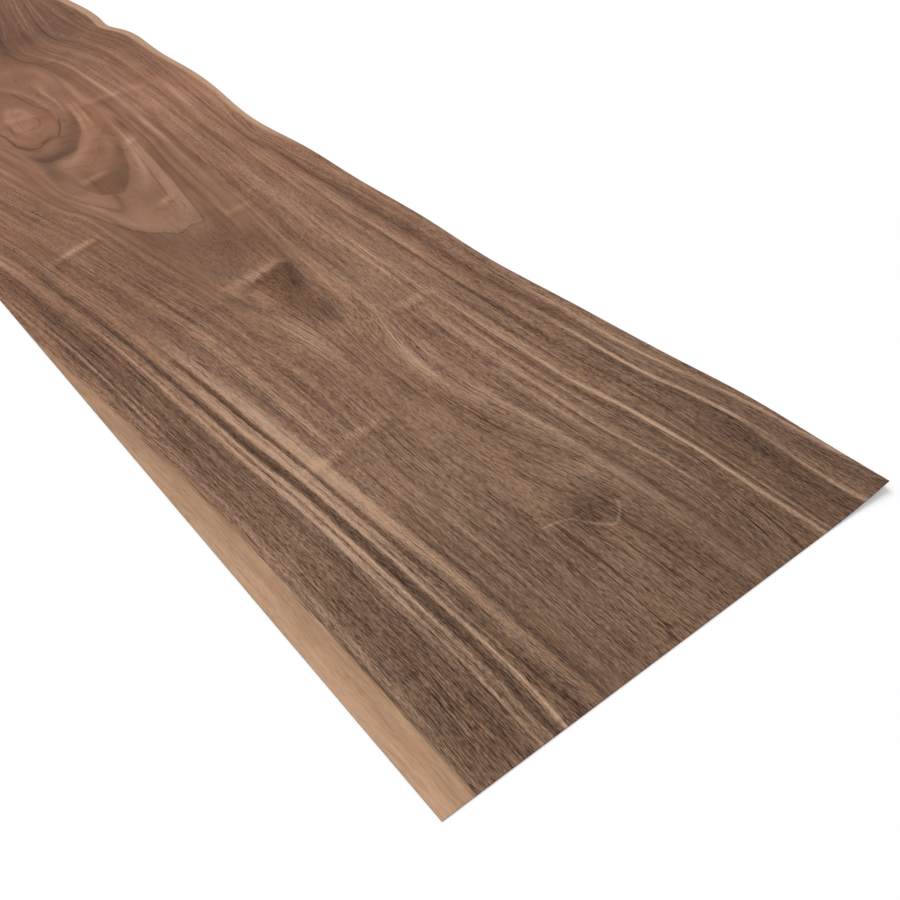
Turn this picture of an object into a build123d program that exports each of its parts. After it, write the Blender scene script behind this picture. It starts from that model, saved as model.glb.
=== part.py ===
"""One leaf of sliced walnut veneer, laid flat with its show face up, in millimetres.

The grain runs along Y. The left edge is cut straight, both ends are cut square, and the right
edge is the log's own wavy outline, left untrimmed. The leaf lies flat on its back face apart
from one near corner, which curls up off the floor about a slanting line.
The origin is on the back face, at the centre of the leaf's overall width and length.
"""

import os
from math import asin, degrees, sqrt

from build123d import *

# Driving sizes
leaf_length = 1250.0
leaf_width = 305.0  # from the straight edge to the widest point of the wavy edge
leaf_thickness = 0.6
wavy_edge_depth = 26.0  # from the widest point of the wavy edge in to its narrowest
curl_reach = 60.0  # along each edge, from the corner to the line where the curl begins
curl_rise = 4.5  # from the floor up to the back face at the corner's tip

# The wavy edge from the near end to the far end, each point as
# (share of the length, share of the edge's depth that the leaf falls short of its full width)
wavy_edge_shape = [
    (0.0, 0.19),
    (0.036, 0.03),
    (0.056, 0.0),
    (0.086, 0.05),
    (0.116, 0.2),
    (0.2, 0.52),
    (0.244, 0.69),
    (0.308, 0.67),
    (0.376, 0.79),
    (0.436, 0.81),
    (0.488, 1.0),
    (0.564, 0.67),
    (0.608, 0.58),
    (0.648, 0.65),
    (0.684, 0.57),
    (0.712, 0.59),
    (0.724, 0.76),
    (0.734, 0.94),
    (0.75, 0.9),
    (0.784, 0.8),
    (0.84, 0.98),
    (0.912, 0.81),
    (1.0, 0.92),
]

# Places worked out from the sizes
straight_edge_x = -leaf_width / 2
widest_x = leaf_width / 2
near_end_y = -leaf_length / 2
far_end_y = leaf_length / 2

wavy_edge_points = [
    (widest_x - inset * wavy_edge_depth, near_end_y + along * leaf_length)
    for along, inset in wavy_edge_shape
]


def leaf_outline():
    """The leaf seen from above: three straight cuts and the wavy edge."""
    with BuildSketch() as outline:
        with BuildLine():
            wavy_edge = Spline(*wavy_edge_points)
            Polyline(
                wavy_edge @ 1,
                (straight_edge_x, far_end_y),
                (straight_edge_x, near_end_y),
                wavy_edge @ 0,
            )
        make_face()
    return outline.sketch


def curl_start_plane():
    """An upright plane on the line where the curl begins, facing the corner."""
    corner_x, corner_y = wavy_edge_points[0]
    return Plane(
        origin=(corner_x - curl_reach / 2, corner_y + curl_reach / 2, 0),
        x_dir=(1, 1, 0),
        z_dir=(1, -1, 0),
    )


def curled_corner(outline):
    """The corner beyond that plane, bent to an arc that leaves the floor without a kink."""
    start = curl_start_plane()
    corner_distance = curl_reach / sqrt(2)
    back_radius = (corner_distance**2 + curl_rise**2) / (2 * curl_rise)
    arc_beyond_corner = 1.5  # the arc runs past the corner, and the outline trims it
    arc_angle = degrees(asin(arc_beyond_corner * corner_distance / back_radius))
    side_view = Plane(origin=start.origin, x_dir=start.z_dir, z_dir=-start.x_dir)
    with BuildPart() as corner:
        with BuildSketch(side_view):
            with BuildLine():
                back = CenterArc((0, back_radius), back_radius, -90, arc_angle)
                show = CenterArc((0, back_radius), back_radius - leaf_thickness, -90, arc_angle)
                Line(back @ 0, show @ 0)
                Line(back @ 1, show @ 1)
            make_face()
        extrude(amount=2 * curl_reach, both=True)
        with BuildSketch():
            add(outline)
        extrude(amount=2 * (curl_rise + leaf_thickness), mode=Mode.INTERSECT)
    return corner.part


outline = leaf_outline()
corner = curled_corner(outline)

with BuildPart() as veneer_leaf:
    with BuildSketch():
        add(outline)
    extrude(amount=leaf_thickness)
    split(bisect_by=curl_start_plane(), keep=Keep.BOTTOM)
    add(corner)
veneer_leaf.part.label = "veneer_leaf"

os.makedirs("parts", exist_ok=True)
export_step(veneer_leaf.part, "parts/veneer_leaf.step")
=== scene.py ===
"""The looks of one leaf of sliced walnut veneer: its figure, pores, sapwood and cut edges.

The leaf is one fine mesh with the outline and the curl of the CAD leaf. Its figure is worked out
from guide lines along the rings of the log and from a list of streaks that follow those rings.
Places on the leaf are in millimetres from its near left corner: across to the right, then along.
"""

from functools import partial, reduce
from math import radians

import bpy
import numpy as np
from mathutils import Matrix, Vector


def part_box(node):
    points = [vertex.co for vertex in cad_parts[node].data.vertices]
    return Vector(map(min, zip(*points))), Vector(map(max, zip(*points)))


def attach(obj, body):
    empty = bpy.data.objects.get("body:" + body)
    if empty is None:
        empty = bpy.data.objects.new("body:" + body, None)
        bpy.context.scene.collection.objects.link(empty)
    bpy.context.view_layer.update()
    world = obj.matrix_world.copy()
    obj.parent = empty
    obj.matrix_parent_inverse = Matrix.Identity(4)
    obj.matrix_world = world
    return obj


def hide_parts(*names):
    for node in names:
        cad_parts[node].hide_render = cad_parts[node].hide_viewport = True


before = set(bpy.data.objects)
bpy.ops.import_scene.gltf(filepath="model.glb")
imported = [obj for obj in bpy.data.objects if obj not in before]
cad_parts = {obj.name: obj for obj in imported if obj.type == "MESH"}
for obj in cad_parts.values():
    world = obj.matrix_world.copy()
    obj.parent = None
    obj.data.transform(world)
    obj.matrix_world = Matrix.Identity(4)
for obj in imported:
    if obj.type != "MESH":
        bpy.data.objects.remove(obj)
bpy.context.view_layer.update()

MM = 0.001

# The leaf, in millimetres
low_corner, high_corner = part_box("veneer_leaf")
leaf_length = (high_corner.y - low_corner.y) / MM
leaf_left = low_corner.x / MM
leaf_near = low_corner.y / MM
leaf_thickness = 0.6
curl_reach = 60.0  # along each edge, from the near right corner to where the curl begins
curl_rise = (high_corner.z - low_corner.z) / MM - leaf_thickness

# The mesh: columns across and rows along the show face, and fewer columns on the back
show_columns = 110
columns_per_back_column = 5
rows = 500
sharp_angle = radians(40)

# Guide lines along the rings, each as (ring, places). A ring's number is about how far in
# millimetres it lies from the middle of the figure where the leaf is crossed at 300 mm.
left_rings = [
    (159, [(16, 0), (16, 110), (15, 200), (9, 300), (5, 350), (0, 400)]),
    (151, [(22, 0), (24, 100), (23, 180), (17, 290), (10, 400), (2, 480)]),
    (138, [(40, 0), (41, 60), (37, 180), (31, 280), (25, 380), (12, 500), (0, 580)]),
    (122, [(58, 0), (57, 120), (50, 230), (44, 330), (33, 440), (20, 540), (5, 640)]),
    (113, [(68, 0), (68, 90), (63, 200), (55, 300), (47, 400), (34, 510), (20, 610), (8, 700)]),
    (102, [(86, 0), (80, 100), (73, 200), (67, 290), (57, 390), (42, 500), (28, 600), (18, 700),
        (16, 800), (22, 900)]),
    (74, [(100, 0), (99, 120), (94, 280), (85, 380), (70, 480), (52, 570), (38, 650), (32, 740),
        (36, 840), (46, 940), (62, 1040), (80, 1140)]),
    (53, [(118, 0), (118, 100), (115, 280), (104, 380), (88, 490), (68, 590), (54, 660), (48, 740),
        (54, 840), (68, 930), (86, 1020), (110, 1120)]),
    (35, [(135, 0), (134, 150), (133, 280), (117, 370), (108, 440), (92, 550), (74, 620), (64, 680),
        (62, 740), (70, 830), (88, 920), (120, 1010)]),
]
right_rings = [
    (42, [(200, 0), (200, 60), (196, 110), (187, 150), (178, 185), (174, 220), (174, 250), (178, 275),
        (184, 300), (189, 380), (196, 470), (203, 560), (208, 640), (210, 720), (208, 800), (204, 850),
        (192, 890), (190, 910), (196, 950), (206, 1000), (222, 1070), (240, 1160), (252, 1240)]),
    (58, [(208, 0), (206, 120), (199, 210), (200, 300), (203, 420), (212, 520), (220, 620), (223, 720)]),
    (79, [(228, 0), (226, 140), (221, 220), (221, 300), (223, 400), (229, 510), (235, 620), (240, 700),
        (243, 780), (243, 840), (234, 885), (222, 910), (222, 960), (228, 1000), (240, 1060), (254, 1160)]),
    (89, [(246, 0), (245.5, 80), (240, 140), (233, 210), (231, 290)]),
    (107, [(258, 0), (258, 80), (252, 200), (249, 290), (248, 400), (250, 500), (252, 600), (257, 700),
        (264, 800), (266, 860), (252, 915), (248, 960), (254, 1060), (262, 1160)]),
    (120, [(282, 0), (283, 60), (283, 90), (279, 120), (273.5, 150), (271, 180), (269, 210), (267, 235),
        (262, 275)]),
    (127, [(276, 200), (269, 290), (265, 400), (260, 500), (258, 600)]),
    (139, [(303.5, 50), (301, 90), (297, 115), (292, 140), (288, 165), (285, 200), (282, 260), (280, 330)]),
    (146, [(300, 145), (294, 220), (288, 290), (286, 400), (284, 500), (279, 615), (286, 700), (290, 780),
        (289, 890), (280, 925), (284, 990), (281, 1060), (281, 1160), (282, 1250)]),
]
middle_rings = [
    (38, [(160, 0), (160, 60), (158, 140), (155, 220), (152, 290)]),
    (34, [(155, 320)]),
    (30, [(118, 385), (126, 362), (145, 352), (158, 356), (168, 375), (178, 420), (183, 480), (190, 560),
        (197, 640), (199, 720), (196, 800), (190, 850), (176, 885), (175, 905), (182, 950)]),
    (20, [(88, 580), (96, 560), (108, 520), (120, 490), (135, 478), (152, 482), (158, 500), (164, 550),
        (173, 610), (180, 660), (183, 740), (184, 830), (177, 865), (168, 890)]),
    (17.5, [(127, 530)]),
    (15.5, [(122, 565)]),
    (13.5, [(116, 597)]),
    (12, [(110, 628)]),
    (10, [(84, 760), (88, 700), (97, 662), (108, 649), (124, 654), (137, 672), (149, 706), (156, 740),
        (155, 790), (143, 830), (118, 850), (95, 825)]),
    (5, [(96, 745), (97, 705), (104, 686), (114, 682), (128, 695), (138, 714), (142, 745), (137, 785),
        (120, 805), (102, 785)]),
    (0, [(112, 720), (120, 750)]),
]
# The numbers that the rings of each side would reach in the middle of the figure
left_middle_ring = 16
right_middle_ring = 10
# The middle of the figure, where its left side meets its right side, as (along, across)
ridge = [(0, 160), (140, 158), (290, 152), (355, 145), (484, 143), (600, 118), (655, 108), (735, 112),
        (850, 125), (930, 150), (1000, 165), (1100, 178), (1250, 190)]

# How light the wood is along the leaf apart from its streaks, as (along, lightness of 255).
# This is partly the wood's own tone and partly painted sheen that changes with the angle the leaf is seen
# at
left_tone_and_painted_sheen = [(0, 90), (95, 95), (160, 105), (250, 104), (315, 107), (370, 99), (440, 89), (530, 95),
        (595, 95), (655, 97), (1250, 91)]
right_tone_and_painted_sheen = [(0, 85), (95, 91), (150, 99), (205, 101), (262, 102), (340, 112), (370, 108),
        (440, 97), (475, 102), (530, 101), (600, 101), (655, 103), (710, 107), (775, 97), (835, 90),
        (885, 84), (940, 71), (990, 77), (1250, 84)]
sides_blend = 40  # how far either side of the ridge the two sides' lightness blends

# The streaks that cross the leaf at several distances along it, each as
# (ring, half its width, how much lighter than the wood around it)
left_mid_streaks = [(150, 1, -26), (147.8, 0.9, 20), (146, 1, -22), (142, 2, -18), (142, 5, -8),
        (139, 1, -10), (134, 4, -12), (133.3, 1, -14), (90.4, 3.2, -12), (79, 3, 12), (73.3, 1.6, -13),
        (62.5, 2.2, -14), (57, 1.5, 6), (49.5, 3, -9)]
left_streaks = {
    30: [(157.5, 1, -6), (153, 2, 8), (150.5, 1, -8), (146.4, 1, -6), (142, 5, -3), (138.5, 0.9, 10),
        (135.5, 1, -9), (134, 4, -6), (126.4, 0.8, 22), (122.3, 0.7, 10), (118.3, 1.8, -20),
        (114.2, 0.9, 40), (111, 0.7, 6), (109.4, 0.8, -8), (108.2, 1.3, -16), (99, 4, 8),
        (91.8, 2.4, -16), (85.5, 1, -14), (74, 5, 3), (68.5, 1.5, -10), (55.3, 0.8, -16)],
    95: [(157.5, 1, -6), (153, 2, 8), (150.5, 1, -8), (146.4, 1, -6), (142, 5, -3), (141.8, 1.1, -7),
        (134, 4, -8), (126.3, 0.9, 34), (121.8, 0.9, 28), (118.3, 1.8, -20), (115.8, 1.1, -14),
        (113.5, 1.2, 36), (111.9, 0.7, -20), (111, 0.7, 10), (108.2, 1.3, -16), (103.2, 0.8, -14),
        (99, 5.5, 20), (91.8, 2.4, -18), (87.5, 1.6, 8), (80, 1.2, -9), (74, 5, 2), (68.5, 1.5, -10),
        (66, 1.6, 10), (58, 2.4, -8)],
    160: [(157.5, 1, -12), (153, 2, 7), (150.5, 1, -10), (146.4, 1, -8), (142, 5, -7), (141.8, 1.1, -9),
        (134, 4, -12), (129.6, 1.1, -14), (126.3, 1.2, 38), (121.8, 1.2, 34), (118.3, 1.8, -24),
        (115.8, 1.1, -14), (113.5, 1.7, 34), (109.7, 1.1, 30), (106.8, 1.2, -18), (99, 6, 32),
        (80, 1.2, -9), (64, 1.1, 12)],
    250: [(157.5, 1, -12), (153, 2, 8), (150.5, 1, -14), (146.4, 1, -14), (142, 5, -14),
        (141.8, 1.1, -12), (134, 4, -12), (133.3, 1, -9), (129.6, 1.1, -16), (126, 1, 30),
        (121.8, 0.9, 32), (118.8, 1.5, -36), (115.8, 1.1, -14), (113.5, 1.7, 34), (109.7, 1.1, 28),
        (106.8, 1.5, -36), (103, 2.4, 20), (99, 6, 26), (90.4, 3.2, -12), (84, 3, 10), (79, 3, 12),
        (77, 1.2, -18), (70.5, 1.3, 12), (62.5, 2.2, -14), (53, 2, -10)],
    315: [*left_mid_streaks, (144.3, 0.9, 22), (130, 1.1, -24), (126.3, 0.9, 26), (122, 0.9, 12),
        (118.8, 1.5, -36), (113, 3, 16), (106.8, 1.4, -36), (103, 2.4, 20), (98.5, 1, 12), (35, 1.2, 8)],
    370: [*left_mid_streaks, (144.3, 0.9, 10), (131.4, 0.8, 16), (129.6, 1, -26), (126.3, 0.9, 24),
        (122, 0.9, 10), (118.8, 1.5, -34), (108, 7, 10), (106.8, 1.2, -14), (98.5, 1, 10), (40, 1.5, 7),
        (32, 2.5, -11)],
    440: [(152.3, 1, 26), (148.7, 0.8, 18), (142.5, 1, -10), (140, 1, -14), (137, 2, -10), (133, 0.9, 9),
        (128, 3, 13), (122.8, 1, 7), (119.5, 2, -12), (117, 1.5, -9), (113.5, 0.6, -6), (110, 2, 16),
        (104, 3, 13), (91.5, 2, -12), (79.5, 2, 10), (69.5, 2, -7), (57.5, 2, 4), (41, 3, 5),
        (36.5, 1.8, -8)],
    530: [(134.2, 1.2, -16), (130, 2.5, 20), (125, 3, 10), (115, 2.5, -7), (108.5, 3, 5), (94.5, 3, -9),
        (84.5, 1.5, 6), (71, 2, 4), (62.5, 2, -8), (52.5, 2, 12), (42, 3, 8), (32, 3, -3)],
    595: [(79.5, 2, 8), (74.5, 1, -4), (71.5, 2.5, -9), (61.5, 2, 6), (56, 1.5, -6), (50, 3, -4),
        (34, 2, 3)],
    655: [(80, 2, 8), (70, 2.5, -9), (52, 2, -9), (46, 1.5, 6), (33, 3, 9)],
    940: [(84, 3, 9), (70, 2.5, -9), (55, 2.5, 8), (46, 2, -6)],
}
right_streaks = {
    30: [(38.5, 1.2, 12), (51, 2, -7), (75.8, 0.7, -7), (77, 0.6, 10), (79.2, 0.6, -7), (87.4, 0.5, -8),
        (88.6, 0.9, 16), (90.3, 1.4, 38), (94.1, 1.2, -8), (96.6, 1.1, 16), (99.8, 1.2, -9),
        (103.8, 0.8, -7), (107.4, 0.8, -16), (113, 6, -4), (114.7, 1, -9), (117.6, 0.8, -14),
        (119.2, 0.9, 38), (125.6, 0.8, -6), (128.7, 0.9, -8), (129, 6, -2), (137.6, 1.6, 44),
        (143.3, 1.4, 11)],
    95: [(42, 4, 22), (51, 2, -7), (59.5, 1, -8), (63.8, 2.4, 5), (68.9, 1.7, -12), (70.8, 1, 32),
        (77.6, 0.8, -8), (80.8, 1.4, 8), (82.6, 0.7, -8), (85.9, 0.7, 10), (86.7, 0.5, -10),
        (88.6, 1, 46), (90, 1, 34), (94, 1.4, -9), (96.4, 1.2, 15), (99.2, 1.2, -6), (107.5, 0.7, -6),
        (113, 6, -4), (116.2, 1.1, -9), (118.7, 0.8, -14), (120.6, 0.7, 32), (121.8, 0.7, 30),
        (129, 1.2, -5), (129, 6, -2), (137.8, 1.2, 42)],
    160: [(46.5, 3, 19), (51, 2, -7), (56.6, 0.9, 12), (57.4, 1.2, -14), (64.6, 1.8, 20),
        (68.9, 1.7, -12), (72.5, 2.6, 22), (77.5, 1.2, -9), (80.1, 1.1, 15), (83.4, 1.6, -13),
        (88.9, 1.5, 40), (93, 1.4, 15), (99, 1, 8), (101, 0.9, -15), (103.3, 1.1, 9), (104.9, 1.1, -15),
        (113, 6, -8), (116.2, 1.1, -9), (120.2, 1.5, 40), (129, 6, -3), (130, 1.2, 9), (138.6, 2, 26)],
    250: [(42, 1.4, 28), (44.5, 1, -10), (46.7, 1, 14), (49.6, 1.6, 14), (57.4, 1.2, -14), (62.4, 2, 6),
        (66.1, 1.6, -18), (72.5, 2.6, 22), (80.1, 1.1, 15), (83.4, 1.6, -13), (88.5, 2.2, 26),
        (93, 1.4, 15), (96.4, 1.2, -17), (103.3, 1.1, 9), (107.8, 1.8, -22), (115.6, 1, 10),
        (121.6, 1.5, 18), (128, 4.4, -24), (138.6, 1.9, 18)],
    315: [(33.5, 2, -20), (37, 1, 6), (43.5, 1.5, 16), (52, 3, -5), (57, 1.2, -8), (77, 1.2, 12),
        (80, 1.2, -12), (86, 3, 14), (95.5, 2.5, -6), (104, 1, -8), (107.3, 1.3, -24), (118, 2, 4),
        (125, 4.5, -26), (135.5, 0.8, -8), (139.5, 1.2, -20), (142, 1, -10)],
    370: [(30, 4, -28), (37, 1.6, 12), (42, 1.6, 10), (51.5, 1.8, -20), (60.4, 1.6, -20), (72, 1.5, -6),
        (76.5, 2.5, 14), (79, 1.2, -6), (83, 2.5, 16), (95, 3, -8), (104, 1.2, -6), (108, 1.8, -26),
        (112, 2, 16), (127.5, 4.5, -28), (141, 1.5, -10)],
    440: [(30, 3, -16), (35.3, 1.2, 6), (37.5, 1, -8), (40, 1.2, 12), (43, 1.2, -8), (51, 2.5, -13),
        (70, 3, 12), (76, 4, 14), (85, 4, 6), (91, 3, -4), (100, 2.5, 6), (104.3, 1.2, -12),
        (108, 1.5, 18), (111, 2, 14), (114.5, 1.5, 5), (118.5, 2, 14), (126.3, 4, -22), (136, 2.5, 10),
        (143, 2, 20)],
    530: [(28, 1.5, -10), (34, 3, 6), (45, 3.5, -11), (52.5, 2, 3), (69, 3, 13), (86.5, 4, -11),
        (95, 2, 10), (98.5, 1, 3), (102.5, 2.5, 16), (108, 2.5, 10), (119.5, 2.5, 5), (128, 4.5, -25),
        (137, 1, -4), (141, 2, 8)],
    595: [(32, 2.5, 8), (35.3, 1, -8), (40.5, 2.5, -16), (45, 2, 4), (54, 2, -5), (61, 4, 7),
        (69.5, 2, -6), (78, 2.5, -15), (82, 2, -7), (88.5, 2, 6), (97, 6, 6), (119.5, 4.5, -19),
        (130, 4, 3), (136.5, 2, -3)],
    655: [(33.3, 2.5, 16), (38, 1.2, -6), (42.5, 2.5, -16), (55.5, 1.5, -3), (61, 4, 10), (71, 2.5, -5),
        (75, 1.5, 3), (79, 2.5, -12), (85, 2, -5), (93, 6, 9), (117.5, 3, -13), (122.5, 2, 3), (131, 5, 4)],
    710: [(30, 1.8, -9), (36.5, 2.2, 11), (46.5, 2.2, -14), (64.5, 4, 8), (80.7, 2.2, -18),
        (87.5, 1.5, -10), (98, 5, 16), (111, 1.5, 6), (117, 2, -9), (125.3, 1.5, -7), (130.5, 2, 6)],
    778: [(28, 1, 6), (32, 1.3, -5), (37.5, 2.6, 22), (46, 1.5, -5), (60.5, 1.5, 6), (68, 4, 3),
        (76, 2.5, -8), (88, 4, 9), (108, 3, -5), (118, 3, -5), (128, 2, -5)],
    835: [(38.5, 2.5, 15), (45, 2.5, -3), (65, 4, 12), (78, 2, -7), (87.5, 4, 12), (98.5, 2, 3),
        (103.7, 1.5, -4), (113, 2, -3)],
    885: [(33, 1.2, -4), (36.3, 1.5, 8), (43.5, 1.5, -4), (65, 5, 7), (82.2, 1.2, -6), (89, 3.5, 9)],
    940: [(31.3, 0.8, -8), (38.5, 2, -6), (47, 4, -6), (55, 2.5, 9), (60, 2, 6), (71, 1, -4),
        (77.5, 2, -18), (84.5, 3.5, 10), (91.5, 1, -6), (112, 3, 9), (121, 3, 10), (130, 3, 15)],
    990: [(28.3, 0.8, -12), (35, 2, -7), (49.7, 0.8, -4), (53, 1.8, 8), (63.5, 2, 10), (78.5, 1.8, -18),
        (84, 3, 7), (90, 2, 9), (94.5, 1, -4), (105, 4, -5), (114, 2, 5), (120, 2, 6), (132, 3, 7)],
}

# The same in the middle of the figure, where the rings close into pointed arches
left_middle_streaks = {
    315: [(33, 2, -4)],
    370: [(32, 2.5, -11), (26.5, 1.5, 12)],
    440: [(31, 2, -4)],
    487: [(28, 2.5, -9), (22.8, 1.6, -10), (18.5, 1.8, 6)],
    517: [(30, 2, -3), (24, 1.6, -8), (18.5, 2.4, 9), (15.6, 0.4, -8), (14, 1.2, 5)],
    547: [(27, 2, 3), (24, 0.5, -14), (18.5, 3, 8), (15.7, 0.4, -12), (14, 1.2, 6), (11, 1.5, 9)],
    595: [(34, 2, 3), (24.5, 0.5, -10), (18, 3, 8), (14, 0.4, -10), (12.5, 1, 6)],
    645: [(33, 3, 11), (20, 2.5, -6), (13, 1.5, 3), (9.6, 1.2, -18)],
    677: [(26, 2.5, 10), (22, 1.5, -2), (16, 1.5, 9), (12.5, 0.7, -6), (11, 0.7, 7), (6.3, 1.2, -17)],
    715: [(24, 1.5, -12), (20, 1.8, 5), (14.5, 0.7, 10), (12.3, 0.6, 12), (6, 0.8, -8), (4, 1, 6),
        (0, 1, 14)],
    778: [(23, 1, -4), (17.7, 2, 12), (10.3, 0.4, 14), (8.2, 0.5, 3), (5.3, 0.7, -8), (1, 0.8, 14)],
    835: [(21, 1.5, -10), (13.5, 3, 9), (6.2, 0.8, -8)],
    885: [(20.5, 2.2, -16)],
    990: [(28.3, 0.8, -12)],
}
right_middle_streaks = {
    315: [(33.5, 2, -20)],
    370: [(30.5, 3.4, -26)],
    440: [(30.5, 2, -16), (26, 2.5, -7), (21.5, 2.5, -10)],
    487: [(31, 1, 2), (29, 1.2, -8), (25.5, 1, 9), (23.8, 0.8, -13), (22, 0.8, -12), (18.5, 1.4, 6)],
    517: [(33, 2, 12), (28.3, 0.8, -12), (26.8, 1, 5), (23.7, 1.2, -14), (20, 0.6, 5), (15.8, 1.2, 9)],
    547: [(31.5, 1.5, 4), (27.5, 0.7, -13), (26.3, 0.8, 4), (23.3, 0.8, -18), (21.6, 0.8, -8),
        (20.2, 0.7, 8), (18.7, 0.4, -10), (16, 2, 6), (11.8, 1, -5)],
    595: [(31.5, 2, 9), (26.6, 0.7, -12), (25.3, 0.8, -3), (22.9, 0.7, -21), (21.5, 0.6, -11),
        (20.3, 0.8, 5), (18.3, 0.4, 14), (13, 4, -6)],
    645: [(33.5, 2.5, 16), (27.5, 1.5, -8), (24.3, 0.5, 6), (23.4, 0.7, -13), (20, 1, 10),
        (18.4, 0.5, 19), (16.7, 0.7, -6), (15.3, 0.5, 7), (14.5, 0.7, -4), (11.8, 0.9, 12),
        (9.6, 1.2, -16)],
    677: [(34, 2, 13), (28, 1.5, -14), (24.6, 0.5, 3), (23.7, 0.7, -15), (20.8, 0.9, -17),
        (19.3, 0.6, -7), (18.3, 0.4, 11), (16.2, 1, -7), (12.5, 1.2, 9), (8, 2, -5), (4.5, 0.8, -12)],
    715: [(31.5, 1.5, -9), (24, 1.5, -16), (20, 1.8, 5), (14.9, 0.6, -8), (14, 0.6, 13), (12.3, 0.6, 17),
        (11, 0.9, -8), (8, 0.8, -3), (6, 1, -9), (0, 0.5, 8)],
    778: [(31.7, 1, -3), (28, 1, 8), (25.7, 1, -6), (23, 1, -2), (17.7, 2, 16), (10.3, 0.4, 19),
        (8.2, 0.5, 3), (7, 0.6, 9), (5.3, 0.7, -5), (1, 0.8, 17)],
    835: [(25, 1.5, -6), (21, 1.5, -10), (13.5, 3, 9), (7.5, 0.7, 3), (6.2, 0.8, -8)],
    885: [(20.5, 2.2, -16)],
    940: [(26.2, 0.7, -20), (24, 1.5, -14)],
    990: [(28.3, 0.8, -12)],
}

# Buckles across the grain, each as (places along its crest, half its width, how strong it is)
buckles = [
    ([(60, 200), (95, 204)], 3.0, 0.9),
    ([(90, 209), (132, 214)], 3.0, 0.8),
    ([(183, 298), (242, 303)], 4.0, 0.5),
    ([(110, 384), (150, 392), (182, 403)], 4.5, 1.0),
    ([(170, 481), (202, 486)], 4.0, 0.6),
    ([(36, 489), (60, 499), (93, 512)], 3.0, 1.3),
    ([(198, 499), (216, 506)], 4.0, 0.3),
    ([(142, 524), (155, 533)], 3.0, 0.9),
    ([(104, 592), (122, 598), (142, 606)], 4.0, 0.9),
    ([(165, 637), (182, 650)], 3.5, 0.6),
    ([(148, 741), (250, 751)], 5.0, 0.45),
    ([(100, 744), (132, 748)], 5.0, 0.4),
    ([(184, 860), (202, 864)], 3.0, 0.5),
]
# A buckle lifts the leaf a little; its crest also gets a painted highlight and the hollow before it painted
# shade
buckle_height = 0.4
painted_buckle_highlight_lift = 26  # how much lighter a crest is
painted_hollow_shade_share = 0.35  # how dark the hollow before a crest is, as a share of how light the crest is

# Soft patches, each as (across, along, half its width, half its length, how much lighter)
patches = [
    (166, 88, 11, 12, -27),
    (149, 108, 10, 14, 13),
    (185, 110, 7, 8, 12),
    (110, 197, 14, 17, -9),
    (134, 305, 6, 36, 14),
    (155, 330, 16, 18, -10),
    (125, 580, 14, 14, -8),
    (128, 625, 18, 20, 6),
]

# Thin lines in and around both eyes of the figure, each as (places, how much lighter)
thin_lines = [
    ([(140, 91), (147, 90), (154, 87), (158, 81), (163, 75), (167, 71), (171, 71), (176, 75),
      (181, 80), (182, 85)], 25),
    ([(92, 723), (95, 717), (95, 704), (95, 692), (98, 685), (103, 679), (110, 678), (117, 686),
      (123, 690), (127, 691), (130, 689), (134, 696), (141, 712), (145, 724)], -26),
    ([(105, 733), (103, 721), (104, 714), (110, 715), (116, 718), (123, 718), (128, 723),
      (131, 733), (129, 739)], -16),
    ([(133, 802), (135, 791), (136, 780), (138, 769), (140, 761), (143, 754), (146, 747)], -20),
    ([(154, 536), (159, 563), (166, 606), (172, 642)], -16),
]
line_fade = (2.5, 5)  # how far from a thin line its lift starts to fade, and where it is gone

# The crisp outer edges of the pale and dark bands that close the figure, each as places in a
# row with the band on the left of the way along them
pale_edges = [
    [(84, 590), (92, 550), (100, 528), (106, 511), (110, 501), (119, 489), (128, 483),
     (133, 476), (146, 483), (156, 482), (158, 488), (160, 499), (163, 513), (165, 529),
     (167, 545), (170, 565), (172, 586), (174, 602), (176, 621), (178, 637), (181, 665)],
]
dark_edges = [
    [(100, 612), (108, 586), (110, 577), (114, 569), (123, 562), (131, 561), (136, 568),
     (144, 580), (153, 600), (159, 618), (164, 639), (168, 660)],
    [(88, 680), (95, 658), (100, 650), (107, 647), (113, 648), (121, 651), (127, 652),
     (132, 654), (139, 667), (149, 684), (155, 701), (158, 721), (158, 745)],
    [(164, 348), (168, 367), (170, 378), (173, 391), (169, 397), (159, 391), (153, 391),
     (147, 387), (141, 384), (132, 380), (119, 377)],
]
end_share = 0.4  # the share of a line's length over which it fades at each end

# Where the wood is plainer: inside the figure, and where the fibres lie far apart
figure_rings = (35, 45)
figure_along = (250, 550)
close_fibres = (0.1, 0.9)
open_plainness = 0.7


# Shapes of numbers

def smooth_step(value, low, high):
    """0 at low, 1 at high and a smooth change between them."""
    t = np.clip((value - low) / (high - low), 0, 1)
    return t * t * (3 - 2 * t)


def bell(distance, half_width):
    """1 at no distance, falling off smoothly to about a third at the half width."""
    return np.exp(-((distance / half_width) ** 2))


def smooth_curve(places, values, wanted):
    """A smooth curve through values at rising places, read at the wanted places."""
    slopes = np.gradient(values, places)
    index = np.clip(np.searchsorted(places, wanted) - 1, 0, len(places) - 2)
    span = places[index + 1] - places[index]
    t = (wanted - places[index]) / span
    start = values[index] * (1 + 2 * t) + slopes[index] * span * t
    end = values[index + 1] * (3 - 2 * t) - slopes[index + 1] * span * (1 - t)
    return start * (1 - t) ** 2 + end * t**2


def along_list(pairs, along):
    """Values given at a few distances along the leaf, read at every distance."""
    places, values = zip(*pairs)
    return np.interp(along, places, values)


def distance_to_line(line, across, along):
    """Distance from each place to a line through points, below 0 on its near side."""
    nearest = np.full(len(across), np.inf)
    signed = np.zeros(len(across))
    for (x0, y0), (x1, y1) in zip(line, line[1:]):
        run_x, run_y = x1 - x0, y1 - y0
        t = ((across - x0) * run_x + (along - y0) * run_y) / (run_x**2 + run_y**2)
        t = np.clip(t, 0, 1)
        apart = np.hypot(across - x0 - t * run_x, along - y0 - t * run_y)
        beyond = run_x * (along - y0) - run_y * (across - x0)
        signed = np.where(apart < nearest, np.copysign(apart, beyond), signed)
        nearest = np.minimum(apart, nearest)
    return signed


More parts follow.
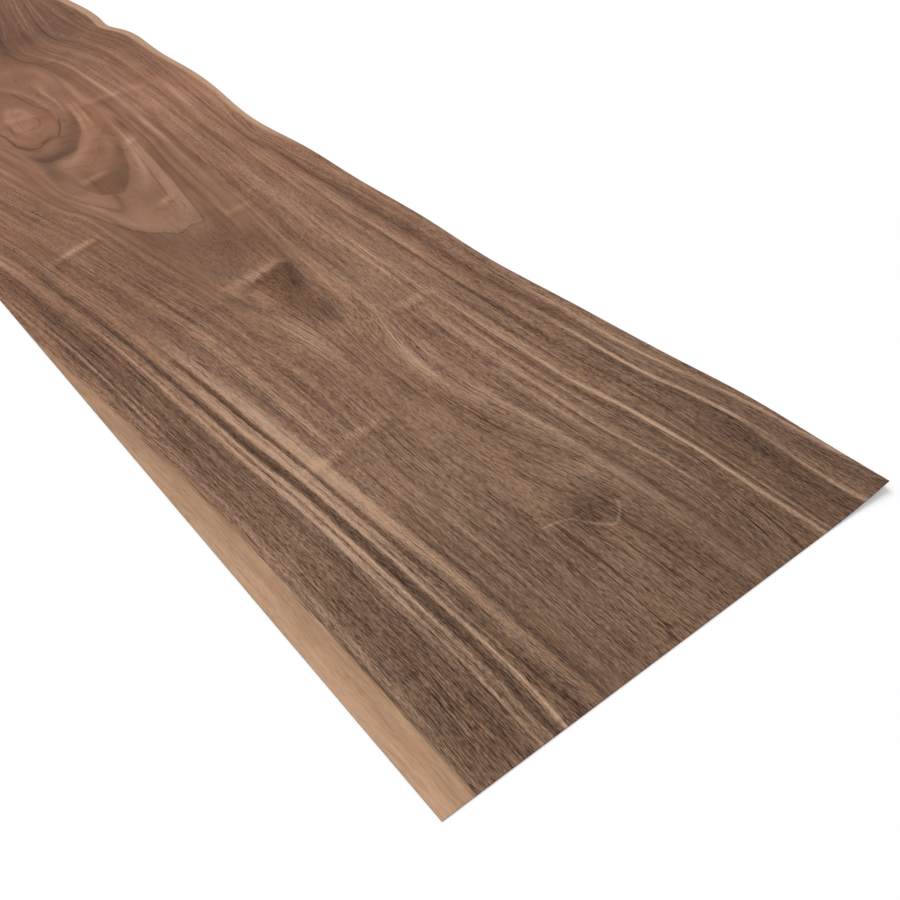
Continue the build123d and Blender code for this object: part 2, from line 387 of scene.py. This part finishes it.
def away_from_ends(line, across, along):
    """0 at both ends of a line through points, and 1 well away from them."""
    (x0, y0), (x1, y1) = line[0], line[-1]
    from_end = np.minimum(np.hypot(across - x0, along - y0), np.hypot(across - x1, along - y1))
    return smooth_step(from_end / np.hypot(x1 - x0, y1 - y0), 0, end_share)


def nearest_line(lines, across, along):
    """The signed distance to the nearest of some (line, value) pairs, and its value."""
    signed = np.full(len(across), np.inf)
    nearest = np.zeros(len(across))
    for line, value in lines:
        beside = distance_to_line(line, across, along)
        nearer = abs(beside) < abs(signed)
        signed = np.where(nearer, beside, signed)
        nearest = np.where(nearer, value, nearest)
    return signed, nearest


def edge_marks(edges, across, along):
    """The signed distance to the nearest crisp edge, and a share that fades toward its ends."""
    shares = [(edge, away_from_ends(edge, across, along)) for edge in edges]
    return nearest_line(shares, across, along)


def thin_line_marks(across, along):
    """The signed distance to the nearest thin line, and its lift, which fades away from it."""
    signed, lift = nearest_line(thin_lines, across, along)
    return signed, lift * (1 - smooth_step(abs(signed), *line_fade))


def slope_across(values, across):
    """How fast values change across the leaf, from each corner of the mesh to the next."""
    return np.gradient(values) / np.gradient(across)


# The surface through the guide lines: a thin plate that bends as little as it can. Distances
# along the leaf are pressed together in it, because the figure is drawn out that way.
plate_unit = 100.0
plate_squash = 0.35
plate_slack = 1e-4
plate_tiny = 1e-9  # keeps the logarithm finite at a pin
plane_terms = 3  # the plate's level and its slopes across and along


def plate_places(across, along):
    """Places on the leaf as the thin plate sees them."""
    return np.stack([across, np.multiply(along, plate_squash)], axis=1) / plate_unit


def plate_pull(places, pin):
    """How much a pin pulls at each place."""
    squared = ((places - pin) ** 2).sum(axis=-1)
    return 0.5 * squared * np.log(squared + plate_tiny)


def plate_through(lines, across, along):
    """The value at each place of a thin plate held at lines of known value."""
    pins = plate_places(*zip(*[place for _, line in lines for place in line]))
    heights = [value for value, line in lines for _ in line]
    count = len(pins)
    bending = plate_pull(pins[:, None], pins) + plate_slack * np.eye(count)
    plane = np.column_stack([np.ones(count), pins])
    system = np.block([[bending, plane], [plane.T, np.zeros((plane_terms, plane_terms))]])
    pulls = np.linalg.solve(system, np.append(heights, np.zeros(plane_terms)))
    places = plate_places(across, along)
    values = pulls[count] + places @ pulls[count + 1:]
    for pin, pull in zip(pins, pulls):
        values += pull * plate_pull(places, pin)
    return values


# The leaf's shape

def wavy_edge(along):
    """How far across the wavy edge lies, read from the corners of the CAD leaf."""
    across_at = {}
    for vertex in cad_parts["veneer_leaf"].data.vertices:
        place = round(vertex.co.y / MM - leaf_near, 1)
        across_at[place] = max(vertex.co.x / MM - leaf_left, across_at.get(place, 0))
    places = np.array(sorted(across_at))
    return smooth_curve(places, np.array([across_at[place] for place in places]), along)


def curl_height(across, along):
    """How far the back face is lifted by the curl of the near right corner."""
    corner = wavy_edge(np.zeros(1))[0]
    diagonal = 2**0.5
    corner_distance = curl_reach / diagonal
    radius = (corner_distance**2 + curl_rise**2) / (2 * curl_rise)
    past = np.clip((across - corner + curl_reach - along) / diagonal, 0, None)
    return radius - np.sqrt(radius**2 - past**2)


def buckle_height_and_painted_shade(across, along):
    """The low ridges across the grain: their height, and a painted highlight on each crest with painted
    shade in the hollow before it.
    """
    height = np.zeros(len(across))
    painted_shade = np.zeros(len(across))
    for crest, half_width, strength in buckles:
        apart = distance_to_line(crest, across, along)
        here = strength * away_from_ends(crest, across, along)
        crest_share = bell(apart, half_width)
        height += here * crest_share
        painted_shade += here * (crest_share - painted_hollow_shade_share * bell(apart + 2 * half_width, half_width))
    return height, painted_shade


def leaf_grid(columns):
    """Across, along and the wavy edge's place for each corner of a grid over the leaf."""
    along = np.linspace(0, leaf_length, rows + 1)
    edge = wavy_edge(along)
    across = edge[:, None] * np.linspace(0, 1, columns + 1)
    return np.stack([across.ravel(), np.repeat(along, columns + 1), np.repeat(edge, columns + 1)])


def grid_faces(columns, start):
    """The four-sided faces, seen from above, of a grid whose first corner is number start."""
    corner = start + np.arange(rows)[:, None] * (columns + 1) + np.arange(columns)
    corner = corner.reshape(-1, 1)
    return corner + np.array([0, 1, columns + 2, columns + 1])


def end_faces(back_columns, back_start):
    """The cut edges at both ends, where several show columns meet each back column."""
    faces = []
    for row in (0, rows):
        show = row * (show_columns + 1)
        back = back_start + row * (back_columns + 1)
        for column in range(back_columns):
            first = show + column * columns_per_back_column
            above = range(first, first + columns_per_back_column + 1)
            face = [back + column, back + column + 1, *reversed(above)]
            faces.append(face if row == 0 else face[::-1])
    return faces


def side_faces(back_columns, back_start):
    """The long edges: the straight cut on the left and the wavy edge on the right."""
    faces = []
    for row in range(rows):
        show = row * (show_columns + 1)
        back = back_start + row * (back_columns + 1)
        next_show = show + show_columns + 1
        next_back = back + back_columns + 1
        faces.append([show, next_show, next_back, back])
        faces.append([next_back - 1, next_back + back_columns, next_show + show_columns, next_show - 1])
    return faces


# What the materials read at each corner of the mesh

def add_vectors(mesh, name, *columns):
    """Stores three values for each corner of a mesh under one name."""
    attribute = mesh.attributes.new(name, "FLOAT_VECTOR", "POINT")
    attribute.data.foreach_set("vector", np.stack(columns, axis=1).astype(np.float32).ravel())


def base_lightness(across, along, past_ridge):
    """How light the wood is out of 255, apart from its streaks and fibres: its own tone with painted sheen
    along the leaf, and its patches.
    """
    left = along_list(left_tone_and_painted_sheen, along)
    right = along_list(right_tone_and_painted_sheen, along)
    lightness = left + (right - left) * smooth_step(past_ridge, -sides_blend, sides_blend)
    for middle_x, middle_y, half_width, half_length, lift in patches:
        apart = np.hypot((across - middle_x) / half_width, (along - middle_y) / half_length)
        lightness += lift * bell(apart, 1.0)
    return lightness


def add_figure(mesh, across, along, edge):
    """The grain, rings and lightness of the wood at each corner of the mesh, with its painted sheen and the
    painted highlights and shade of the buckles.
    """
    ring = plate_through(left_rings + right_rings + middle_rings, across, along)
    ring = np.clip(ring, 0, None)
    left_fibres = [(left_middle_ring - value, line) for value, line in left_rings]
    right_fibres = [(value - right_middle_ring, line) for value, line in right_rings]
    fibre = plate_through(left_fibres + right_fibres, across, along)
    past_ridge = across - along_list(ridge, along)
    lightness = base_lightness(across, along, past_ridge)
    painted_buckle_shade = buckle_height_and_painted_shade(across, along)[1]
    in_figure = (1 - smooth_step(ring, *figure_rings)) * smooth_step(along, *figure_along)
    apart = 1 - smooth_step(slope_across(fibre, across), *close_fibres)
    plainness = np.maximum(in_figure, open_plainness * apart)
    steepness = np.clip(abs(slope_across(ring, across)), 0, 1)
    add_vectors(mesh, "grain", fibre, along, ring)
    add_vectors(mesh, "figure", past_ridge, lightness, edge - across)
    # The last value is the buckles' painted highlight and painted shade
    add_vectors(mesh, "line_marks_and_painted_buckle_shade", *thin_line_marks(across, along), painted_buckle_shade)
    add_vectors(mesh, "pale_edge", *edge_marks(pale_edges, across, along), plainness)
    add_vectors(mesh, "dark_edge", *edge_marks(dark_edges, across, along), steepness)


def make_leaf():
    """The leaf as one closed mesh: show face, back face, cut ends and long edges."""
    back_columns = show_columns // columns_per_back_column
    show = leaf_grid(show_columns)
    back_start = show.shape[1]
    across, along, edge = np.concatenate([show, leaf_grid(back_columns)], axis=1)
    height = curl_height(across, along) + buckle_height * buckle_height_and_painted_shade(across, along)[0]
    height[:back_start] += leaf_thickness
    corners = np.stack([across + leaf_left, along + leaf_near, height], axis=1) * MM
    groups = [
        grid_faces(show_columns, 0).tolist(),
        grid_faces(back_columns, back_start)[:, ::-1].tolist(),
        end_faces(back_columns, back_start) + side_faces(back_columns, back_start),
    ]
    mesh = bpy.data.meshes.new("walnut_leaf")
    mesh.from_pydata(corners.tolist(), [], [face for group in groups for face in group])
    material = [number for number, group in enumerate(groups) for _ in group]
    cut_edges = len(groups) - 1
    mesh.polygons.foreach_set("material_index", material)
    mesh.polygons.foreach_set("use_smooth", [number < cut_edges for number in material])
    mesh.set_sharp_from_angle(angle=sharp_angle)
    add_figure(mesh, across, along, edge)
    leaf = bpy.data.objects.new("walnut_leaf", mesh)
    bpy.context.scene.collection.objects.link(leaf)
    return leaf


# Materials

def linear(red, green, blue):
    """An 8-bit screen colour as a shader's linear colour."""
    screen = np.array([red, green, blue]) / 255
    light = np.where(screen <= 0.04045, screen / 12.92, ((screen + 0.055) / 1.055) ** 2.4)
    return (*light.tolist(), 1.0)


noise_gain = 7.5  # how far noise is stretched about its middle, to mostly fill -1 to 1


class Shading:
    """Adds nodes to one material. Each value given is a number or another node's output."""

    def __init__(self, name):
        self.material = bpy.data.materials.new(name)
        self.material.use_nodes = True
        self.tree = self.material.node_tree
        self.surface = self.tree.nodes["Principled BSDF"]

    def fill(self, node, values):
        """Gives each named or numbered socket of a node its value."""
        for socket, value in values.items():
            if isinstance(value, bpy.types.NodeSocket):
                self.tree.links.new(value, node.inputs[socket])
            else:
                node.inputs[socket].default_value = value

    def node(self, kind, values, **settings):
        made = self.tree.nodes.new(kind)
        for name, setting in settings.items():
            setattr(made, name, setting)
        self.fill(made, values)
        return made

    def math(self, operation, *values):
        return self.node("ShaderNodeMath", dict(enumerate(values)), operation=operation).outputs[0]

    def add(self, *values):
        return reduce(partial(self.math, "ADD"), values)

    def times(self, *values):
        return reduce(partial(self.math, "MULTIPLY"), values)

    def scaled(self, value, factor, offset=0.0):
        """A value times a factor, plus an offset."""
        return self.math("MULTIPLY_ADD", value, factor, offset)

    def fade(self, share, start, end):
        """A number that goes from start to end as the share goes from 0 to 1."""
        return self.scaled(share, end - start, start)

    def blend(self, share, first, second):
        """The first value where the share is 0 and the second where it is 1."""
        return self.math("MULTIPLY_ADD", self.math("SUBTRACT", second, first), share, first)

    def smooth(self, value, low, high):
        """0 at low, 1 at high and a smooth change between them."""
        values = {0: value, 1: low, 2: high}
        made = self.node("ShaderNodeMapRange", values, interpolation_type="SMOOTHSTEP")
        return made.outputs[0]

    def attribute(self, name):
        """The three values stored on the mesh under one name."""
        read = self.node("ShaderNodeAttribute", {}, attribute_name=name)
        split = self.node("ShaderNodeSeparateXYZ", {0: read.outputs["Vector"]})
        return split.outputs[:3]

    def stretched(self, across, along, across_size, along_size, layer=0.0):
        """Places in units of the given sizes, for a texture drawn out along the fibres."""
        x = self.math("DIVIDE", across, across_size)
        y = self.math("DIVIDE", along, along_size)
        return self.node("ShaderNodeCombineXYZ", {0: x, 1: y, 2: layer}).outputs[0]

    def noise(self, across, along, across_size, along_size, layer):
        """Smooth noise, mostly from -1 to 1, with features of about the given sizes."""
        place = self.stretched(across, along, across_size, along_size, layer)
        values = {"Vector": place, "Scale": 1.0, "Detail": 2.0}
        made = self.node("ShaderNodeTexNoise", values)
        return self.scaled(made.outputs[0], noise_gain, -noise_gain / 2)

    def curve(self, value, span, heights):
        """A curve through evenly spaced heights over a span of the value."""
        place = self.node("ShaderNodeMapRange", {0: value, 1: span[0], 2: span[1]}).outputs[0]
        made = self.node("ShaderNodeFloatCurve", {"Value": place})
        peak = abs(heights).max()
        line = made.mapping.curves[0]
        for _ in heights[1:-1]:
            line.points.new(0.5, 0.5)
        for number, height in enumerate(heights):
            line.points[number].location = (number / (len(heights) - 1), 0.5 + 0.5 * height / peak)
            line.points[number].handle_type = "VECTOR"
        made.mapping.update()
        return self.scaled(made.outputs[0], 2 * peak, -peak)

    def ramp(self, value, stops):
        """A colour that changes through stops of (place, colour)."""
        made = self.node("ShaderNodeValToRGB", {0: value})
        elements = made.color_ramp.elements
        elements.remove(elements[1])
        for number, (place, colour) in enumerate(stops):
            element = elements.new(place) if number else elements[0]
            element.position = place
            element.color = linear(*colour)
        return made.outputs[0]

    def mix(self, share, first, second):
        """The first colour where the share is 0 and the second where it is 1."""
        values = {0: share, 6: first, 7: second}
        return self.node("ShaderNodeMix", values, data_type="RGBA").outputs[2]


# The rings that the streaks of each side and of the middle lie between
side_span = (26, 160)
middle_span = (0, 34)
middle_rise = (33, 27)
curve_steps = 256
ridge_blend = 8  # how far either side of the ridge the two sides' streaks blend

# Screen colours, each as (lightness out of 255, colour at the near end, colour well along)
heartwood_colours = [
    (30, (47, 31, 22), (50, 28, 16)), (50, (72, 51, 38), (76, 46, 28)),
    (70, (92, 67, 51), (101, 62, 38)), (92, (116, 89, 70), (128, 84, 56)),
    (108, (134, 105, 84), (145, 101, 74)), (130, (159, 128, 105), (170, 123, 94)),
    (155, (187, 153, 126), (199, 151, 116)),
]
sapwood_colours = [
    (110, (133, 103, 79), (128, 96, 70)), (140, (167, 131, 102), (161, 123, 94)),
    (155, (185, 148, 118), (180, 140, 112)), (175, (203, 164, 137), (196, 155, 126)),
]
black = (0, 0, 0, 1)

# Noise in the wood, each as (size across the fibres, size along them, which noise it is)
grain_noise = {"speck": (0.5, 2.5, 7), "fine": (0.6, 20, 1), "thread": (1.8, 60, 2),
               "cloud": (9, 30, 4)}
wobble_noise = (8, 14, 8)
wobble_reach = 0.15
band_noise = (5, 300, 6)
tint_noise = (6, 220, 9)
tint_share = 0.03

# Lines where noise rises high, each as (noise, rise from a line's edge to its middle, its value)
hair_lines = ((0.42, 50, 3), (0.8, 1.2), 1)
ring_lines = ((0.8, 400, 5), (0.7, 1.1), -30)
thin_ring_lines = ((0.5, 180, 10), (0.9, 1.3), -44)
fibre_lines = ((0.9, 120, 11), (0.6, 1.1), -50)
hair_clouds = (0.3, 0.8)  # how hairs follow the clouds, and their strength without them

# Pores, each as (width, length); a cell of the pattern holds one pore at most
short_pore = (0.26, 4)
long_pore = (0.3, 9)
long_pore_shift = 37  # keeps the long pores apart from the short ones
long_pore_share = 0.7
pore_cell = 2.2
pore_edge = (0.32, 0.12)

# How much of each part of the grain goes into uneven edges, relief and shine
ring_jitter = {"fine": 0.2, "thread": 0.25}
edge_jitter = {"fine": 0.4, "thread": 0.5}
sapwood_jitter = {"fine": 0.3, "thread": 0.4, "hair": -2}
strip_jitter = {"thread": 0.8}
relief_parts = {"fine": 0.15, "pore": -1}
shine_parts = {"fine": 0.03, "pore": 0.12}

# What changes along the leaf, each as (where it starts, where it ends, amount before, after)
pore_change = (250, 700, 1, 0.3)
streak_change = (400, 900, 1, 1.35)
sapwood_change = (60, 320, 0, -6)
strip_change = (760, 920, 0, -3.5)

# Where along the leaf something starts to show, and where it is wholly there
fibre_line_fade = (430, 330)
colour_change = (0, 800)
sapwood_colour_change = (500, 1000)
strip_start = (500, 620)

plainest_grain = 0.18  # how strong the grain is where the wood is plainest
side_rings = (32, 41)
middle_ring_lines = 0.2  # how strong the lines along the rings are inside the side rings

# How much lighter each part of the wood makes it, out of 255
grain_lifts = {"speck": 12, "fine": 5, "thread": 5, "hair": -70}
sapwood_lifts = {"fine": 4, "thread": 4, "cloud": 3, "hair": -16, "pore": -20}
level_lift = 14  # makes up for what the hairs and lines take away
pore_lift = -90
cloud_lift = 3
band_lift = 5
# The painted highlight on a buckle's crest is uneven along the threads
painted_glint_threads = 0.3  # how unevenly the threads catch the light on a buckle
pale_streak = (24, 4)  # the lift of a streak where pores are fainter, and where they are not
pores_in_pale = 0.4
thin_line_edge = (1.4, 0.2)

# Bands along a crisp edge, each as (how far past it they come in, and go out, how much lighter)
dark_line = ((-3, -0.6), (0.8, -0.8), -14)
pale_band = ((-0.8, 0.8), (40, 0), 10)
dark_band = ((-0.9, 0.9), (26, 0), -18)

# The sapwood: where it begins, how light it is, and its strip on the wavy edge
sapwood_rings = (156, 159.8)
outer_rings = (163, 173)
sapwood_lightness = 147
outer_lift = 14
strip_edge = (7.5, 4.5)
side_rise = 20  # how far from the ridge either side is wholly itself


class Wood(Shading):
    """Walnut: streaks along the rings, fine fibres, pores and a band of pale sapwood."""

    def __init__(self, name, contrast, roughness, darkening):
        super().__init__(name)
        self.fibre, self.along, self.ring = self.attribute("grain")
        self.past_ridge, self.base_light, self.edge_distance = self.attribute("figure")
        self.across_line, self.line_lift, self.painted_buckle_light = self.attribute("line_marks_and_painted_buckle_shade")
        self.past_pale_edge, self.pale_share, self.plainness = self.attribute("pale_edge")
        self.past_dark_edge, self.dark_share, self.steepness = self.attribute("dark_edge")
        self.find_grain()
        sapwood = self.sapwood_share()
        colour = self.mix(sapwood, self.heartwood_colour(contrast), self.sapwood_colour(sapwood))
        relief = self.add(*self.parts(relief_parts))
        values = {"Strength": 0.35, "Distance": 0.08 * MM, "Height": relief}
        self.fill(self.surface, {
            "Base Color": self.mix(darkening, colour, black),
            "Roughness": self.add(roughness, *self.parts(shine_parts)),
            "Specular IOR Level": 0.12,
            "Normal": self.node("ShaderNodeBump", values).outputs[0],
        })

    def parts(self, amounts):
        """Parts of the grain, each times how much of it is wanted."""
        return [self.scaled(self.grain[name], amount) for name, amount in amounts.items()]

    def lines(self, across, noise, rise, value):
        """The value in the middle of lines where noise rises high, and 0 outside them."""
        return self.scaled(self.smooth(self.noise(across, self.along, *noise), *rise), value)

    def find_grain(self):
        """The parts of the grain. The middle of the figure is plainer than its sides."""
        self.coarse = self.fade(self.plainness, 1.0, plainest_grain)
        wobble = self.noise(self.fibre, self.along, *wobble_noise)
        fibre = self.add(self.fibre, self.scaled(wobble, wobble_reach))
        grain = {name: self.noise(fibre, self.along, *size) for name, size in grain_noise.items()}
        hair = self.lines(fibre, *hair_lines)
        grain["hair"] = self.times(hair, self.scaled(grain["cloud"], *hair_clouds))
        short_pores = self.pores(fibre, *short_pore)
        long_pores = self.pores(self.scaled(fibre, 1.0, long_pore_shift), *long_pore)
        pore = self.math("MAXIMUM", short_pores, self.scaled(long_pores, long_pore_share))
        grain["pore"] = self.times(pore, self.change(*pore_change), self.coarse)
        self.grain = grain
        self.streak_gain = self.change(*streak_change)

    def change(self, start, end, before, after):
        """An amount that changes from before to after between two places along the leaf."""
        return self.fade(self.smooth(self.along, start, end), before, after)

    def pores(self, fibre, width, length):
        """Dark dashes of about a width and length: up to 1 inside them and 0 outside."""
        place = self.stretched(fibre, self.along, pore_cell * width, pore_cell * length)
        values = {"Vector": place, "Scale": 1.0}
        cells = self.node("ShaderNodeTexVoronoi", values, voronoi_dimensions="2D")
        dash = self.smooth(cells.outputs["Distance"], *pore_edge)
        chance = self.node("ShaderNodeSeparateXYZ", {0: cells.outputs["Color"]}).outputs[0]
        return self.times(dash, chance)

    def colour_of(self, lightness, colours, change):
        """The colour for a lightness out of 255, from the near colours to the far ones."""
        level = self.math("DIVIDE", lightness, 255.0)
        near = self.ramp(level, [(stop / 255, colour) for stop, colour, _ in colours])
        far = self.ramp(level, [(stop / 255, colour) for stop, _, colour in colours])
        return self.mix(self.smooth(self.along, *change), near, far)

    def streaks_of(self, crossings, span, ring):
        """The streaks' change in lightness at a ring, blended from each distance to the next."""
        rings = np.linspace(*span, curve_steps)
        total = None
        for place, crossing in crossings.items():
            heights = sum(lift * bell(rings - middle, width) for middle, width, lift in crossing)
            here = self.curve(ring, span, heights)
            if total is None:
                total = here
            else:
                total = self.blend(self.smooth(self.along, before, place), total, here)
            before = place
        return total

    def all_streaks(self, ring):
        """The change in lightness that all the streaks make."""
        left = self.streaks_of(left_streaks, side_span, ring)
        right = self.streaks_of(right_streaks, side_span, ring)
        left_middle = self.streaks_of(left_middle_streaks, middle_span, ring)
        right_middle = self.streaks_of(right_middle_streaks, middle_span, ring)
        on_right = self.smooth(self.past_ridge, -ridge_blend, ridge_blend)
        return self.blend(
            self.smooth(ring, *middle_rise),
            self.blend(on_right, left, right),
            self.blend(on_right, left_middle, right_middle),
        )

    def fibre_lift(self, ring):
        """How much lighter the specks, threads, hairs and thin dark lines make the wood."""
        along_rings = self.add(self.lines(ring, *ring_lines), self.lines(ring, *thin_ring_lines))
        in_sides = self.fade(self.smooth(self.ring, *side_rings), middle_ring_lines, 1.0)
        along_fibres = self.lines(self.fibre, *fibre_lines)
        between_rings = self.fade(self.steepness, 1.0, 0.0)
        near = self.smooth(self.along, *fibre_line_fade)
        return self.add(
            level_lift,
            *self.parts(grain_lifts),
            self.times(along_rings, self.times(in_sides, self.steepness), self.streak_gain),
            self.times(along_fibres, between_rings, near),
        )

    def heartwood_colour(self, contrast):
        """The brown wood: its base with painted sheen, the streaks, the fine grain, the thin lines and
        crisp edges, and the painted highlights and shade of the buckles.
        """
        jitter = self.add(*self.parts(ring_jitter))
        ring = self.add(self.ring, self.times(jitter, self.steepness))
        streaks = self.all_streaks(ring)
        outside_pale = self.fade(self.smooth(streaks, *pale_streak), pores_in_pale, 1.0)
        beside_line = self.smooth(self.math("ABSOLUTE", self.across_line), *thin_line_edge)
        # A painted highlight on each buckle's crest and painted shade before it, broken up by the threads
        painted_glint = self.times(self.painted_buckle_light, self.scaled(self.grain["thread"], painted_glint_threads, 1.0))
        lightness = self.add(
            self.base_light,
            self.scaled(self.times(streaks, self.streak_gain), contrast),
            self.times(self.fibre_lift(ring), self.coarse),
            self.scaled(self.times(self.grain["pore"], outside_pale), pore_lift),
            self.scaled(self.grain["cloud"], cloud_lift),
            self.scaled(self.noise(ring, self.along, *band_noise), band_lift),
            self.times(beside_line, self.line_lift),
            self.crisp_edges(),
            self.scaled(painted_glint, painted_buckle_highlight_lift),
        )
        colour = self.colour_of(lightness, heartwood_colours, colour_change)
        tint = self.noise(ring, self.along, *tint_noise)
        values = {"Saturation": self.scaled(tint, tint_share, 1.0), "Color": colour}
        return self.node("ShaderNodeHueSaturation", values).outputs[0]

    def crisp_edges(self):
        """The pale and dark bands behind a crisp edge, and the dark line before a pale one."""
        jitter = self.add(*self.parts(edge_jitter))
        past_pale = self.add(self.past_pale_edge, jitter)
        past_dark = self.add(self.past_dark_edge, jitter)
        pale = self.add(self.band(past_pale, *dark_line), self.band(past_pale, *pale_band))
        return self.add(
            self.times(pale, self.pale_share),
            self.times(self.band(past_dark, *dark_band), self.dark_share),
        )

    def band(self, past_edge, start, end, lift):
        """How much lighter one band along a crisp edge makes the wood."""
        inside = self.times(self.smooth(past_edge, *start), self.smooth(past_edge, *end))
        return self.scaled(inside, lift)

    def sapwood_share(self):
        """1 in the pale sapwood along the straight edge and on the wavy edge, 0 elsewhere."""
        ring = self.add(self.ring, *self.parts(sapwood_jitter))
        outside = self.smooth(ring, *sapwood_rings)
        left = self.times(self.smooth(self.past_ridge, 0.0, -side_rise), outside)
        widening = self.change(*strip_change)
        from_edge = self.add(self.edge_distance, *self.parts(strip_jitter), widening)
        strip = self.smooth(from_edge, *strip_edge)
        started = self.smooth(self.along, *strip_start)
        return self.math("MAXIMUM", left, self.times(strip, started))

    def sapwood_colour(self, sapwood):
        """The pale wood under the bark, palest on its outer side."""
        on_wavy_edge = self.times(sapwood, self.smooth(self.past_ridge, 0.0, side_rise))
        outer = self.math("MAXIMUM", self.smooth(self.ring, *outer_rings), on_wavy_edge)
        lightness = self.add(
            sapwood_lightness,
            self.scaled(outer, outer_lift),
            self.change(*sapwood_change),
            *self.parts(sapwood_lifts),
        )
        return self.colour_of(lightness, sapwood_colours, sapwood_colour_change)


# The floor, light and camera

white = (1.0, 1.0, 1.0, 1.0)
camera_pitch = 41.5  # degrees below level
camera_turn = 38.75  # degrees to the right of the leaf's length


def make_floor():
    """A plain white floor that glows a little to the camera and still takes the leaf's shadow."""
    bpy.ops.mesh.primitive_plane_add(size=12.0)
    floor = bpy.context.object
    floor.name = "floor"
    shading = Shading("floor_white")
    floor.data.materials.append(shading.material)
    path = shading.node("ShaderNodeLightPath", {})
    shading.fill(shading.surface, {
        "Base Color": (0.9, 0.9, 0.9, 1.0),
        "Roughness": 1.0,
        "Specular IOR Level": 0.0,
        "Emission Color": white,
        "Emission Strength": shading.scaled(path.outputs["Is Camera Ray"], 0.12),
    })
    return floor


def make_light():
    """An even white surround and a broad soft lamp from beyond the leaf's far end."""
    world = bpy.data.worlds.new("surround")
    world.use_nodes = True
    background = world.node_tree.nodes["Background"]
    background.inputs["Color"].default_value = white
    background.inputs["Strength"].default_value = 0.68
    bpy.context.scene.world = world
    lamp = bpy.data.objects.new("lamp", bpy.data.lights.new("lamp", "SUN"))
    lamp.data.energy = 1.25
    lamp.data.angle = radians(35)
    toward_lamp = Vector((0.1, 0.75, 1.0))
    lamp.rotation_euler = toward_lamp.to_track_quat("Z", "Y").to_euler()
    bpy.context.scene.collection.objects.link(lamp)


def make_camera():
    """The photograph's camera, worked out from the leaf's square near left corner."""
    camera = bpy.data.objects.new("camera", bpy.data.cameras.new("camera"))
    camera.location = Vector((-272.8, -779.9, 366.3)) * MM
    camera.rotation_euler = (radians(90 - camera_pitch), 0.0, radians(-camera_turn))
    camera.data.lens = 40.12
    camera.data.sensor_width = 36.0
    camera.data.clip_start = 0.01
    bpy.context.scene.collection.objects.link(camera)
    bpy.context.scene.camera = camera


leaf = make_leaf()
show_wood = Wood("walnut_show_face", contrast=1.25, roughness=0.6, darkening=0.0)
back_wood = Wood("walnut_back_face", contrast=1.0, roughness=0.72, darkening=0.0)
edge_wood = Wood("walnut_cut_edge", contrast=1.0, roughness=0.8, darkening=0.4)
for wood in (show_wood, back_wood, edge_wood):
    leaf.data.materials.append(wood.material)
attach(leaf, "root")
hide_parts("veneer_leaf")

make_floor()
make_light()
make_camera()
bpy.context.scene.view_settings.view_transform = "Standard"
